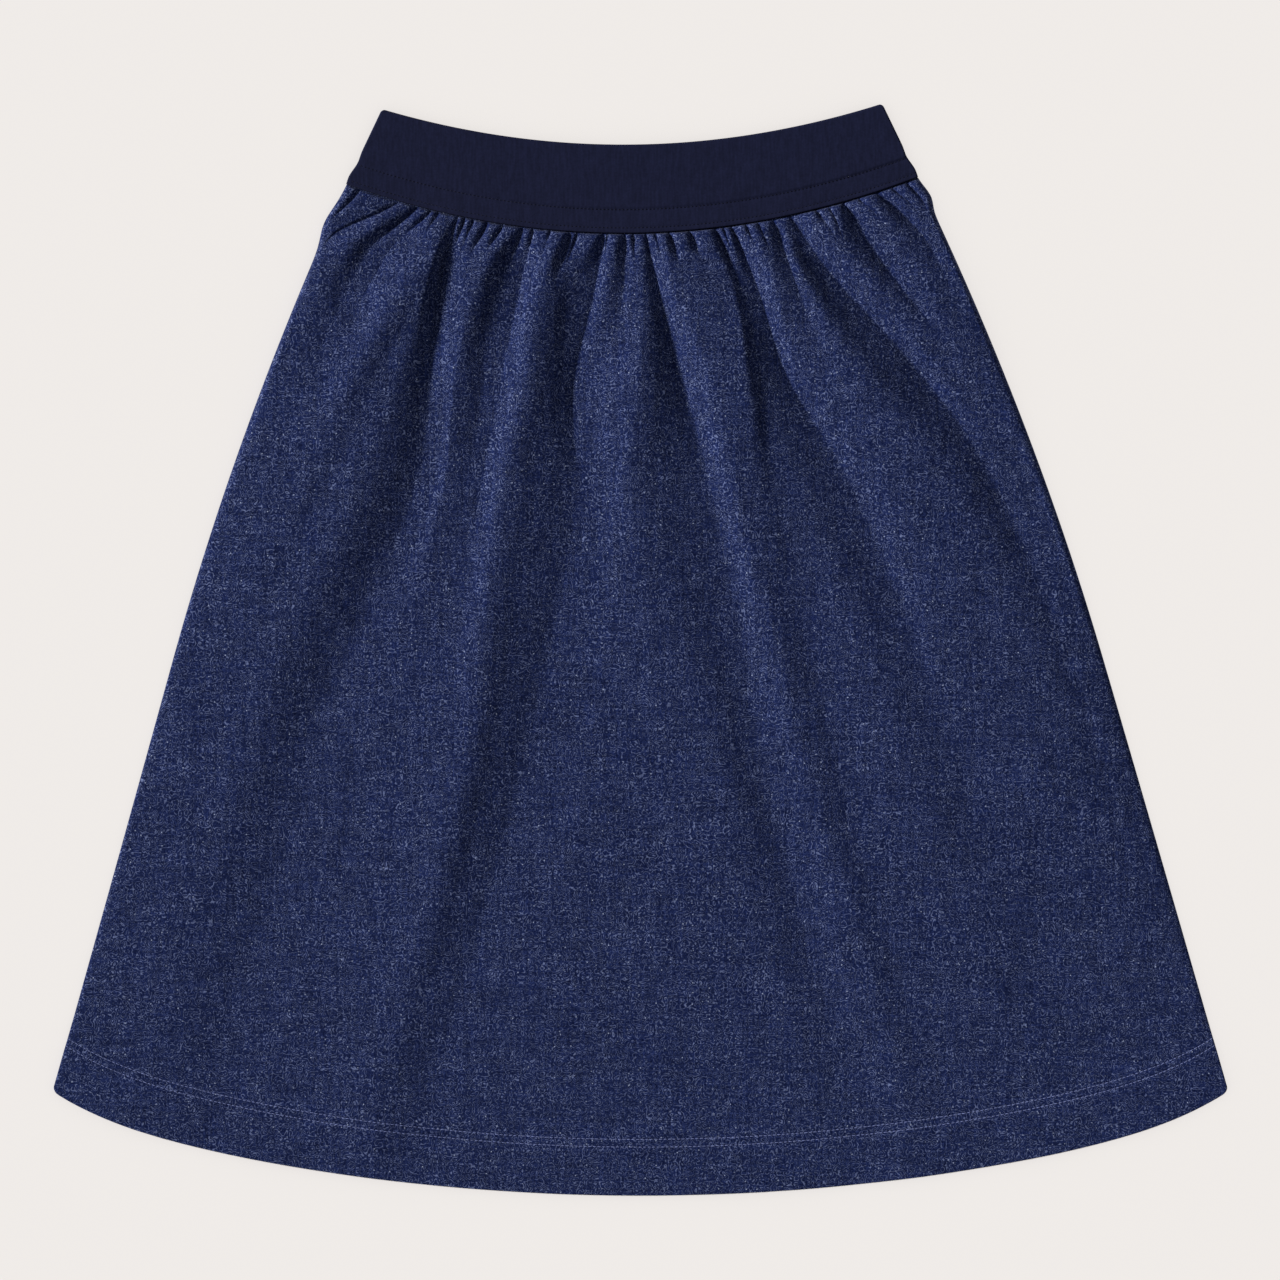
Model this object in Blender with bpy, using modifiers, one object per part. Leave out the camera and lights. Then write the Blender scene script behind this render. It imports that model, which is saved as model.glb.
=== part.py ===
"""Gathered skirt, laid flat with its back panel down.

Units are metres, +Z up.  The waist points to +Y and the hem to -Y, and the cloth lies on z = 0.
Two gathered panels hang from a waistband whose front and back are also separate pieces.

A point of a panel is given by two shares: "across" runs from -1 at the left edge to 1 at the
right edge, and "down" from 0 at the waist seam to 1 at the hem.  On the waistband "down" runs
from 0 at its top edge to 1 at the waist seam.

Run with: blender --background --python part.py
"""

from collections import namedtuple
from math import cos, exp, pi, sqrt

import bmesh
import bpy

# ---- cloth -------------------------------------------------------------------------------
WALL = 0.0012               # one layer of the panels' cloth
GAP = 0.0003                # between pieces that touch
LAYER_CLEARANCE = 0.0001    # extra room where the back panel's wall leans over its creases

# ---- panels ------------------------------------------------------------------------------
SIDE_FALL = 0.600           # side seam, measured along Y
SEAM_SAG = 0.0346           # how far the middle of the waist seam hangs below its ends
HEM_SAG = 0.0687            # the same for the hem
HEM_SQUARENESS = 0.21       # share of the hem's sag that is taken up close to the corners
WAIST_TILT = 0.0023         # the right end of the waist lies this much higher than the middle
WAIST_SHIFT = 0.0055        # the waist lies this far to the left of the hem's middle
HEM_HALF = 0.3875           # half the hem's width
FLARE = 0.1702              # half width that the straight flare takes off up to the waist
HIP_CURVE = 0.0291          # further half width that the hip curve takes off at the waist
HIP_DEPTH = 0.526           # how far down the hip curve reaches
PUFF_OUT = 0.0035           # a fold that stands out past the left side seam
PUFF_DOWN = 0.042           # where it stands out most
PUFF_LENGTH = 0.022
SIDE_ROLL = 0.005           # width over which a panel rolls down to its side seam

# ---- hem: the panel's own edge, turned in ------------------------------------------------
HEM_DEPTH = 0.036
HEM_TOP = 1 - HEM_DEPTH / (SIDE_FALL + HEM_SAG - SEAM_SAG)
HEM_STEP = 0.008            # share of the length over which the wall doubles

# ---- waistband ---------------------------------------------------------------------------
BAND_THICKNESS = 0.0030
BAND_TOP_HALF = 0.165
BAND_FLARE = 0.0232
BAND_FALL = 0.0483          # end of the band, measured along Y
BAND_SAG = 0.0246
BAND_SAG_GROWTH = 0.010
BAND_TILT = 0.0018
BAND_EDGE_RADIUS = 0.0011
BAND_COLUMNS = 24

# Height of the waist seam's ends that puts the middle of the skirt's length on the origin.
SEAM_END_Y = (SIDE_FALL + HEM_SAG - BAND_FALL - BAND_TILT - GAP) / 2

# Thickness across the band: elastic in its casing, the casing's stitch line, the plain strip.
BandRow = namedtuple("BandRow", "down thickness")
BAND_ROWS = (
    BandRow(down=0.00, thickness=0.0026),
    BandRow(down=0.10, thickness=0.0030),
    BandRow(down=0.62, thickness=0.0030),
    BandRow(down=0.735, thickness=0.0023),
    BandRow(down=0.84, thickness=0.0027),
    BandRow(down=1.00, thickness=0.0024),
)

# ---- relief of the panels ----------------------------------------------------------------
# A crest or a trough of cloth that runs down a panel: where it lies across at six shares down,
# and its height there.  Between neighbours the cloth runs smoothly from one to the other.
STATIONS = (0.0, 0.06, 0.16, 0.28, 0.52, 0.90)
Fold = namedtuple(
    "Fold",
    "seam yoke high_hip hip thigh hem "
    "seam_height yoke_height high_hip_height hip_height thigh_height hem_height",
)
MM = 0.001

# Heights in millimetres above the layer that the front panel lies on.
#         place across at each station                height at each station
FRONT_FOLDS = (
    Fold(-1.00, -1.00, -1.00, -1.00, -1.00, -1.00,    3.0, 3.0, 3.0, 3.0, 2.4, 1.2),
    Fold(-.812, -.975, -.985, -.980, -.970, -.960,    1.4, 3.8, 4.4, 4.4, 3.2, 1.6),
    Fold(-.784, -.905, -.955, -.950, -.940, -.930,    3.8, 6.8, 5.0, 5.2, 3.7, 1.8),
    Fold(-.748, -.850, -.885, -.900, -.910, -.920,    2.4, 3.2, 4.7, 6.4, 4.2, 1.9),
    Fold(-.700, -.795, -.840, -.860, -.880, -.910,    4.4, 2.6, 5.6, 7.4, 4.8, 2.0),
    Fold(-.660, -.670, -.758, -.800, -.870, -.900,    4.4, 9.4, 9.6, 8.8, 5.0, 2.1),
    Fold(-.640, -.648, -.700, -.760, -.850, -.880,    3.8, 9.6, 6.8, 8.0, 5.2, 2.2),
    Fold(-.626, -.638, -.665, -.695, -.800, -.855,    3.2, 8.6, 7.6, 10., 6.4, 2.6),
    Fold(-.606, -.613, -.578, -.555, -.665, -.730,    4.6, 0.6, 0.6, 1.8, 1.2, 0.9),
    Fold(-.585, -.590, -.545, -.515, -.630, -.700,    4.2, 3.6, 2.4, 2.8, 1.7, 1.0),
    Fold(-.410, -.487, -.505, -.485, -.550, -.650,    4.6, 8.0, 5.8, 5.0, 3.2, 1.4),
    Fold(-.380, -.425, -.426, -.425, -.490, -.580,    2.4, 2.6, 2.0, 3.8, 4.4, 1.9),
    Fold(-.350, -.360, -.380, -.398, -.420, -.520,    3.6, 0.6, 2.0, 3.8, 5.8, 2.6),
    Fold(-.242, -.290, -.304, -.335, -.352, -.455,    6.6, 7.8, 9.4, 9.0, 8.0, 3.6),
    Fold(-.212, -.246, -.240, -.260, -.300, -.420,    1.8, 6.0, 6.2, 6.4, 5.2, 2.6),
    Fold(-.118, -.198, -.210, -.205, -.262, -.395,    5.2, 3.4, 3.8, 4.0, 3.4, 1.8),
    Fold(-.095, -.122, -.172, -.150, -.225, -.365,    1.4, 0.3, 0.3, 1.8, 1.8, 1.2),
    Fold(-.065, -.082, -.128, -.095, -.160, -.300,    5.6, 3.8, 1.6, 2.8, 2.4, 1.4),
    Fold(-.022, -.030, -.068, -.050, -.060, -.100,    2.4, 2.2, 5.2, 5.4, 3.4, 1.7),
    Fold(0.022, 0.035, 0.014, -.015, 0.160, 0.300,    3.4, 4.8, 9.4, 7.4, 5.2, 2.3),
    Fold(0.048, 0.084, 0.144, 0.198, 0.254, 0.370,    3.2, 0.3, 0.4, 2.2, 1.8, 1.1),
    Fold(0.104, 0.150, 0.236, 0.264, 0.345, 0.470,    9.0, 7.8, 9.2, 8.0, 6.2, 2.7),
    Fold(0.262, 0.320, 0.324, 0.318, 0.375, 0.490,    6.4, 7.6, 9.8, 7.0, 5.4, 2.5),
    Fold(0.290, 0.334, 0.356, 0.360, 0.408, 0.520,    1.2, 5.4, 5.8, 5.4, 4.2, 2.0),
    Fold(0.318, 0.352, 0.390, 0.420, 0.550, 0.680,    5.0, 4.8, 3.8, 4.8, 6.6, 2.1),
    Fold(0.345, 0.394, 0.436, 0.545, 0.645, 0.780,    3.0, 2.8, 0.4, 0.4, 4.4, 1.5),
    Fold(0.410, 0.452, 0.484, 0.602, 0.690, 0.820,    7.6, 8.8, 4.2, 4.6, 5.2, 1.6),
    Fold(0.492, 0.514, 0.550, 0.650, 0.750, 0.860,    1.6, 6.0, 6.4, 6.2, 5.7, 1.7),
    Fold(0.515, 0.542, 0.630, 0.768, 0.870, 0.900,    1.4, 7.8, 9.6, 7.2, 5.6, 1.6),
    Fold(0.532, 0.582, 0.692, 0.820, 0.905, 0.930,    1.2, 2.8, 5.2, 4.8, 4.6, 1.5),
    Fold(0.552, 0.622, 0.765, 0.872, 0.938, 0.940,    0.8, 0.4, 0.6, 0.8, 3.6, 1.4),
    Fold(0.620, 0.700, 0.820, 0.905, 0.950, 0.955,    8.0, 7.0, 5.6, 1.6, 3.7, 1.3),
    Fold(0.712, 0.714, 0.850, 0.925, 0.960, 0.962,    5.8, 7.0, 5.8, 1.8, 3.5, 1.3),
    Fold(0.735, 0.786, 0.875, 0.940, 0.970, 0.970,    2.2, 1.2, 5.9, 1.8, 3.2, 1.2),
    Fold(0.800, 0.880, 0.912, 0.965, 0.980, 0.982,    7.0, 5.6, 6.6, 2.2, 2.9, 1.1),
    Fold(0.852, 0.940, 0.950, 0.980, 0.988, 0.990,    1.5, 3.0, 6.2, 2.8, 2.6, 1.0),
    Fold(0.900, 0.970, 0.980, 0.990, 0.994, 0.995,    4.6, 4.4, 5.6, 2.8, 2.4, 0.9),
    Fold(1.000, 1.000, 1.000, 1.000, 1.000, 1.000,    2.5, 5.0, 5.4, 3.0, 2.2, 0.9),
)

# The back panel lies on the surface, lifted off it only in its creases.  Heights are shares
# of how far a crease lifts at each station.
BACK_LIFTS = (1.2, 1.8, 2.0, 1.2, 0.0, 0.0)
BACK_FOLDS = (
    Fold(-1.00, -1.00, -1.00, -1.00, -1.00, -1.00,    0.0, 0.0, 0.0, 0.0, 0.0, 0.0),
    Fold(-.820, -.845, -.890, -.935, -.950, -.960,    0.0, 0.0, 0.0, 0.0, 0.0, 0.0),
    Fold(-.740, -.775, -.830, -.870, -.900, -.920,    0.9, 1.0, 0.9, 0.7, 0.0, 0.0),
    Fold(-.600, -.630, -.670, -.705, -.740, -.780,    0.0, 0.0, 0.0, 0.0, 0.0, 0.0),
    Fold(-.470, -.490, -.510, -.535, -.570, -.620,    1.0, 1.0, 1.0, 1.0, 0.0, 0.0),
    Fold(-.330, -.345, -.375, -.405, -.440, -.480,    0.0, 0.0, 0.0, 0.0, 0.0, 0.0),
    Fold(-.200, -.205, -.225, -.255, -.290, -.320,    0.8, 0.9, 0.8, 0.5, 0.0, 0.0),
    Fold(-.060, -.065, -.072, -.080, -.090, -.100,    0.0, 0.0, 0.0, 0.0, 0.0, 0.0),
    Fold(0.080, 0.070, 0.080, 0.095, 0.110, 0.130,    1.0, 1.0, 1.0, 0.8, 0.0, 0.0),
    Fold(0.220, 0.225, 0.245, 0.265, 0.290, 0.320,    0.0, 0.0, 0.0, 0.0, 0.0, 0.0),
    Fold(0.360, 0.375, 0.410, 0.445, 0.470, 0.500,    0.9, 0.9, 0.7, 0.4, 0.0, 0.0),
    Fold(0.490, 0.515, 0.555, 0.595, 0.620, 0.650,    0.0, 0.0, 0.0, 0.0, 0.0, 0.0),
    Fold(0.620, 0.650, 0.700, 0.745, 0.780, 0.810,    1.0, 1.0, 0.9, 0.9, 0.0, 0.0),
    Fold(0.760, 0.790, 0.840, 0.885, 0.910, 0.930,    0.0, 0.0, 0.0, 0.0, 0.0, 0.0),
    Fold(1.000, 1.000, 1.000, 1.000, 1.000, 1.000,    0.0, 0.0, 0.0, 0.0, 0.0, 0.0),
)

PUFF_START = 0.26           # share of the relief that is left in the waist seam itself
PUFF_REACH = 0.038          # share down the panel at which the folds have risen in full
TIGHTNESS = 1.4             # steepness of a trough's sides at the waist seam
TIGHT_REACH = 0.45          # down to here the troughs ease to round ones

# The gathers at the waist seam: place across, length down the cloth in metres, and depth as
# a share of the relief.
Gather = namedtuple("Gather", "across length depth")
GATHERS = (
    Gather(-.952, 0.028, 0.50),
    Gather(-.812, 0.050, 0.55),
    Gather(-.748, 0.050, 0.55),
    Gather(-.700, 0.022, 0.50),
    Gather(-.608, 0.034, 0.50),
    Gather(-.585, 0.024, 0.50),
    Gather(-.505, 0.025, 0.60),
    Gather(-.450, 0.019, 0.50),
    Gather(-.380, 0.040, 0.55),
    Gather(-.345, 0.020, 0.45),
    Gather(-.215, 0.034, 0.55),
    Gather(-.190, 0.024, 0.45),
    Gather(-.098, 0.036, 0.60),
    Gather(-.025, 0.030, 0.60),
    Gather(0.005, 0.018, 0.50),
    Gather(0.048, 0.014, 0.45),
    Gather(0.128, 0.024, 0.60),
    Gather(0.200, 0.022, 0.60),
    Gather(0.290, 0.030, 0.60),
    Gather(0.345, 0.046, 0.55),
    Gather(0.492, 0.026, 0.60),
    Gather(0.552, 0.044, 0.55),
    Gather(0.641, 0.015, 0.45),
    Gather(0.735, 0.034, 0.55),
    Gather(0.852, 0.030, 0.55),
    Gather(0.957, 0.020, 0.50),
)
GATHER_HALF_WIDTH = 0.0026

# ---- mesh density ------------------------------------------------------------------------
FRONT_CELL = 0.034          # widest cell across the front panel, as a share
NARROWEST_CELL = 0.009
FRONT_ROWS = 14
BACK_COLUMNS = 48
BACK_ROWS = 9
ROW_CROWDING = 1.9          # above 1, rows crowd towards the waist

# ---- finishes ----------------------------------------------------------------------------
DENIM_BLUE = (0.0209, 0.0289, 0.0792, 1.0)
BAND_NAVY = (0.0116, 0.0130, 0.0331, 1.0)
CLOTH_ROUGHNESS = 0.9


# ---- helpers -----------------------------------------------------------------------------
def smooth(share):
    """Ease from 0 to 1, level at both ends."""
    share = min(1.0, max(0.0, share))
    return (1 - cos(pi * share)) / 2


def hump(distance, half_width):
    """A soft hump that is 1 at distance 0 and dies away past half_width."""
    return exp(-(distance / half_width) ** 2)


def hermite(start, end, start_rise, end_rise, share):
    """Cubic from start to end that leaves and arrives at the given rises."""
    return (
        start * (1 - share) ** 2 * (1 + 2 * share)
        + end * share ** 2 * (3 - 2 * share)
        + start_rise * share * (1 - share) ** 2
        - end_rise * share ** 2 * (1 - share)
    )


def through(places, values, place):
    """Smooth curve through the values given at rising places, held level outside them."""
    if place <= places[0]:
        return values[0]
    if place >= places[-1]:
        return values[-1]
    last = len(places) - 1
    i = next(k for k in range(last) if place < places[k + 1])
    span = places[i + 1] - places[i]
    rises = []
    for k in (i, i + 1):
        before, after = max(k - 1, 0), min(k + 1, last)
        slope = (values[after] - values[before]) / (places[after] - places[before])
        rises.append(slope * span)
    return hermite(values[i], values[i + 1], *rises, (place - places[i]) / span)


def at_station(values, down):
    """Smooth curve through the values given at the stations."""
    return through(STATIONS, values, down)


# ---- outline of the panels ---------------------------------------------------------------
def half_width(down):
    """Half the panel's width at a share down it."""
    hip = max(0.0, 1 - down / HIP_DEPTH) ** 2
    return HEM_HALF - FLARE * (1 - down) - HIP_CURVE * hip


def panel_point(across, down):
    """X and Y of a point of a panel."""
    squareness = HEM_SQUARENESS * down
    rise = (1 - squareness) * across ** 2 + squareness * across ** 10
    sag = SEAM_SAG + (HEM_SAG - SEAM_SAG) * down
    x = across * half_width(down) - WAIST_SHIFT * (1 - down) ** 1.5
    if across < 0:
        x += across ** 3 * PUFF_OUT * hump(down - PUFF_DOWN, PUFF_LENGTH)
    y = SEAM_END_Y - SIDE_FALL * down + WAIST_TILT * (1 - down) * across - sag * (1 - rise)
    return x, y


# ---- shape of the panels -----------------------------------------------------------------
# A thread of cloth is named by its place across the waist seam, and runs along the folds.
def between(folds, thread):
    """Number of the fold to a thread's left, and the thread's share of the way to the next."""
    last = len(folds) - 2
    i = next((k for k in range(last) if thread < folds[k + 1].seam), last)
    return i, (thread - folds[i].seam) / (folds[i + 1].seam - folds[i].seam)


def fold_across(fold, down):
    """Where a fold lies across at a share down the panel."""
    return at_station(fold[:len(STATIONS)], down)


def fold_height(fold, down):
    """A fold's height at a share down the panel."""
    return at_station(fold[len(STATIONS):], down)


def slope_after(folds, i, down):
    """Mean slope of the cloth from fold i to the next one."""
    left, right = folds[i:i + 2]
    rise = fold_height(right, down) - fold_height(left, down)
    return rise / (fold_across(right, down) - fold_across(left, down))


def thread_across(folds, thread, down):
    """Where a thread has got to across the panel at a share down it."""
    i, share = between(folds, thread)
    left, right = (fold_across(fold, down) for fold in folds[i:i + 2])
    return left + (right - left) * share


def thread_height(folds, thread, down):
    """Height of a thread: level on crests, steep beside troughs, even on long slopes."""
    i, share = between(folds, thread)
    left, right = folds[i:i + 2]
    width = fold_across(right, down) - fold_across(left, down)
    here = slope_after(folds, i, down)
    before = slope_after(folds, i - 1, down) if i > 0 else 0.0
    after = slope_after(folds, i + 1, down) if i + 2 < len(folds) else 0.0
    steepness = TIGHTNESS * (1 - smooth(down / TIGHT_REACH))
    rises = []
    for beside, in_trough in ((before, before < 0 < here), (after, here < 0 < after)):
        if in_trough:
            rises.append(steepness * here * width)
        elif beside * here > 0:
            rises.append(2 * beside * here / (beside + here) * width)
        else:
            rises.append(0.0)
    return hermite(fold_height(left, down), fold_height(right, down), *rises, share)


def gathered(thread, down):
    """What the gathers leave of the relief: 1 where there are none."""
    left = 1.0
    length = down * SIDE_FALL
    for gather in GATHERS:
        if length < gather.length:
            fade = 1 - smooth(length / gather.length)
            distance = (thread - gather.across) * half_width(down)
            left *= 1 - gather.depth * fade * hump(distance, GATHER_HALF_WIDTH)
    return left


def side_roll(across, down):
    """Rounds the relief off towards the side seams."""
    inwards = (1 - abs(across)) * half_width(down) / SIDE_ROLL
    return sqrt(1 - max(0.0, 1 - inwards) ** 2)


def layers_below(down):
    """Cloth thickness below the front panel: one layer, or two where the hem is turned in."""
    doubled = smooth((down - HEM_TOP) / HEM_STEP)
    return WALL * (1 + doubled)


def back_lift(across, down):
    """Most that a crease of the back panel lifts here."""
    return at_station(BACK_LIFTS, down) * MM * side_roll(across, down)


def front_point(thread, down):
    """A point of the front panel's underside."""
    across = thread_across(FRONT_FOLDS, thread, down)
    rest = layers_below(down) + GAP + LAYER_CLEARANCE + back_lift(across, down)
    puff = PUFF_START + (1 - PUFF_START) * smooth(down / PUFF_REACH)
    relief = thread_height(FRONT_FOLDS, thread, down) * MM * puff * gathered(thread, down)
    return *panel_point(across, down), rest + relief * side_roll(across, down)


def back_point(thread, down):
    """A point of the back panel's underside: on the surface, lifted a little in its creases."""
    across = thread_across(BACK_FOLDS, thread, down)
    lift = back_lift(across, down) * thread_height(BACK_FOLDS, thread, down)
    return *panel_point(across, down), lift


# ---- building ----------------------------------------------------------------------------
def make_material(name, colour):
    """Matt cloth in one colour."""
    material = bpy.data.materials.new(name)
    material.use_nodes = True
    shader = material.node_tree.nodes["Principled BSDF"]
    shader.inputs["Base Color"].default_value = colour
    shader.inputs["Roughness"].default_value = CLOTH_ROUGHNESS
    shader.inputs["Metallic"].default_value = 0.0
    return material


def cloth_piece(name, columns, rows, place, thickness_at, material, collection):
    """A sheet through place(across, down), thickened upwards, closed all round.

    columns and rows are the rising shares of the grid's lines; thickness_at(down) gives the
    thickness on each row.
    """
    bm = bmesh.new()
    bmesh.ops.create_grid(
        bm, x_segments=len(columns) - 1, y_segments=len(rows) - 1, size=1.0
    )
    thickest = max(thickness_at(down) for down in rows)
    mesh = bpy.data.meshes.new(name)
    weights = {}
    for vertex in bm.verts:
        column = round((vertex.co.x + 1) / 2 * (len(columns) - 1))
        row = round((1 - vertex.co.y) / 2 * (len(rows) - 1))
        vertex.co = place(columns[column], rows[row])
        weights[vertex.index] = thickness_at(rows[row]) / thickest
    bm.to_mesh(mesh)
    bm.free()
    mesh.materials.append(material)
    mesh.shade_smooth()

    piece = bpy.data.objects.new(name, mesh)
    collection.objects.link(piece)
    group = piece.vertex_groups.new(name="thickness")
    for index, weight in weights.items():
        group.add([index], weight, "REPLACE")
    solidify = piece.modifiers.new("wall", "SOLIDIFY")
    solidify.thickness = thickest
    solidify.offset = 1.0
    solidify.use_even_offset = True
    solidify.vertex_group = group.name
    piece.modifiers.new("even shading", "WEIGHTED_NORMAL")
    return piece


def front_columns():
    """Grid lines of the front panel: one in each gather and fold, and even steps between."""
    stops = [-1.0]
    for place in sorted({item[0] for item in GATHERS + FRONT_FOLDS}):
        if place - stops[-1] > NARROWEST_CELL:
            stops.append(place)
    columns = [-1.0]
    for left, right in zip(stops, stops[1:]):
        steps = max(1, round((right - left) / FRONT_CELL))
        columns += [left + (right - left) * k / steps for k in range(1, steps + 1)]
    return columns


def panel_rows(count):
    """Grid lines down a panel, crowded at the waist, with two at the turned hem."""
    rows = [HEM_TOP * (k / count) ** ROW_CROWDING for k in range(count + 1)]
    return rows + [HEM_TOP + HEM_STEP, 1.0]


def build_panels(denim, collection):
    """The gathered front and back, each a wall of cloth with a doubled hem."""
    back_columns = [2 * k / BACK_COLUMNS - 1 for k in range(BACK_COLUMNS + 1)]
    cloth_piece("skirt_front", front_columns(), panel_rows(FRONT_ROWS), front_point,
                layers_below, denim, collection)
    cloth_piece("skirt_back", back_columns, panel_rows(BACK_ROWS), back_point,
                layers_below, denim, collection)


def build_waistband(navy, collection):
    """The two sides of the waistband, one lying on the other."""
    columns = [2 * k / BAND_COLUMNS - 1 for k in range(BAND_COLUMNS + 1)]
    rows = [row.down for row in BAND_ROWS]

    def thickness(down):
        return through(rows, [row.thickness for row in BAND_ROWS], down)

    for name, height in (("waistband_back", 0.0), ("waistband_front", BAND_THICKNESS + GAP)):
        def place(across, down, height=height):
            half = BAND_TOP_HALF + BAND_FLARE * down
            sag = BAND_SAG + BAND_SAG_GROWTH * down
            tilt = BAND_TILT + (WAIST_TILT - BAND_TILT) * down
            y = SEAM_END_Y + BAND_FALL * (1 - down) + tilt * across - sag * (1 - across ** 2)
            return across * half - WAIST_SHIFT, y + GAP, height

        band = cloth_piece(name, columns, rows, place, thickness, navy, collection)
        bevel = band.modifiers.new("rounded edge", "BEVEL")
        bevel.width = BAND_EDGE_RADIUS
        bevel.segments = 2
        bevel.limit_method = "ANGLE"
        bevel.angle_limit = pi / 3


def main():
    for existing in list(bpy.data.objects):
        bpy.data.objects.remove(existing, do_unlink=True)
    collection = bpy.data.collections.new("gathered_skirt")
    bpy.context.scene.collection.children.link(collection)
    denim = make_material("denim_knit", DENIM_BLUE)
    navy = make_material("waistband_knit", BAND_NAVY)
    build_panels(denim, collection)
    build_waistband(navy, collection)


main()
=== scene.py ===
"""Looks of the gathered skirt: fine cloth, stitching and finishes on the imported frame.

The skirt lies flat on z = 0 with its back panel down, its waist towards +Y and its hem towards
-Y.  Units are metres.  A point of a panel is given by its thread, which is that thread's place
across the waist seam from -1 to 1, and by its share down the cloth, from 0 at the waist seam to
1 at the hem.  A thread runs down along the folds, so it drifts across the panel on its way.
"""

from __future__ import annotations

import logging
import math
from abc import ABC, abstractmethod
from dataclasses import dataclass, field
from enum import Enum
from functools import cached_property
from typing import NamedTuple

import bmesh
import bpy
import numpy as np
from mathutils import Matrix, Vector

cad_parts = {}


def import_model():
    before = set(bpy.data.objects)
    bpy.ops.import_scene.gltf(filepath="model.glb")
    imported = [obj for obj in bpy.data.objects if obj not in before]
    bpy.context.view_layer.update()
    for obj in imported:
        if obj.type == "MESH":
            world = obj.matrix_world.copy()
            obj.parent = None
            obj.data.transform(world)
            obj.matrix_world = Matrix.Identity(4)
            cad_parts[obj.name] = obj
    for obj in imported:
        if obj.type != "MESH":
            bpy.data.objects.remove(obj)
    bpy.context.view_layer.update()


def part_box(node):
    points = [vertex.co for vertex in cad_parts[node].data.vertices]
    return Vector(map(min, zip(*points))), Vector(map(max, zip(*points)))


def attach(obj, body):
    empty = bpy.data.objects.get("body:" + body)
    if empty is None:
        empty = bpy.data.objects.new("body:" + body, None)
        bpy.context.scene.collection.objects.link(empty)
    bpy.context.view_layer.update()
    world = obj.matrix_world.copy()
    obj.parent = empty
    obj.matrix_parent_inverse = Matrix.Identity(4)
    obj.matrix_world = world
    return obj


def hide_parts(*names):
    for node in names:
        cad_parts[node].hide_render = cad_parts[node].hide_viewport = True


LOG = logging.getLogger("gathered_skirt")
MM = 0.001
TINY = 1e-9         # keeps a division from being by nothing
Array = np.ndarray
Socket = bpy.types.NodeSocket


# ---- numbers -----------------------------------------------------------------------------
def smooth(share: Array | float) -> Array | float:
    """Ease from 0 to 1, level at both ends."""
    return (1 - np.cos(np.pi * np.clip(share, 0.0, 1.0))) / 2


def hump(distance: Array | float, half_width: Array | float, sharpness: float = 2.0) -> Array:
    """A hump that is 1 at distance 0 and dies away past half_width.

    Args:
        distance: distance from the middle of the hump.
        half_width: distance at which it has fallen to about a third.
        sharpness: 2 is a rounded hump, and less makes it more pointed.

    Returns:
        The hump's height, from 0 to 1.
    """
    return np.exp(-np.abs(distance / half_width) ** sharpness)


def quarter_round(distance: Array, radius: float) -> Array:
    """Rise of a quarter circle: 0 at an edge, 1 from radius inwards."""
    return np.sqrt(1 - np.clip(1 - distance / radius, 0.0, 1.0) ** 2)


def spaced(stops: list[tuple[float, float]]) -> Array:
    """Rising values from 0, with their own spacing up to each stop.

    Args:
        stops: pairs of the value where a stretch ends and the spacing in that stretch.

    Returns:
        The values, with both ends of every stretch among them.
    """
    values = [0.0]
    for end, step in stops:
        start = values[-1]
        count = max(1, round((end - start) / step))
        values += [start + (end - start) * k / count for k in range(1, count + 1)]
    return np.array(values)


def cubic(
    ends: tuple[Array, Array], slopes: tuple[Array, Array], span: Array, share: Array
) -> Array:
    """Cubic curves between two points, with a given slope at each.

    Args:
        ends: heights at the curves' starts and at their ends.
        slopes: slopes there.
        span: the distance from start to end.
        share: shares of the way from start to end.

    Returns:
        Heights at the shares.
    """
    return (
        ends[0] * (1 - share) ** 2 * (1 + 2 * share)
        + ends[1] * share ** 2 * (3 - 2 * share)
        + slopes[0] * span * share * (1 - share) ** 2
        - slopes[1] * span * share ** 2 * (1 - share)
    )


@dataclass(frozen=True)
class Rumple:
    """Soft uneven waves over the cloth, made of plane waves in all directions."""

    height: float
    wavelength: float                           # of the middle waves
    seed: int                                   # of the waves' directions, lengths and phases
    waves: int = 14
    spread: tuple[float, float] = (0.65, 1.6)   # the shortest and longest, in middle ones

    def heights(self, x: Array, y: Array) -> Array:
        """Heights of the waves.

        Args:
            x: X of the points.
            y: Y of the points.

        Returns:
            Heights of about the rumple's own, up and down.
        """
        draw = np.random.default_rng(self.seed)
        total = np.zeros_like(x)
        for _ in range(self.waves):
            angle, phase = draw.uniform(0, 2 * np.pi, 2)
            turn = 2 * np.pi / (self.wavelength * draw.uniform(*self.spread))
            total += np.sin(turn * (x * np.cos(angle) + y * np.sin(angle)) + phase)
        return self.height * (total / np.sqrt(2 * self.waves))


# ---- folds -------------------------------------------------------------------------------
class Side(Enum):
    """The two sides of the skirt."""

    FRONT = "front"
    BACK = "back"


# Shares down a panel where its folds are given: seam, yoke, high hip, hip, thigh and hem.
STATIONS = np.array((0.0, 0.06, 0.16, 0.28, 0.52, 0.90))


class Fold(NamedTuple):
    """A crest or a trough that runs down a panel: its place and height at the stations."""

    seam: float
    yoke: float
    high_hip: float
    hip: float
    thigh: float
    hem: float
    seam_height: float = 0.0
    yoke_height: float = 0.0
    high_hip_height: float = 0.0
    hip_height: float = 0.0
    thigh_height: float = 0.0
    hem_height: float = 0.0


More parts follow.
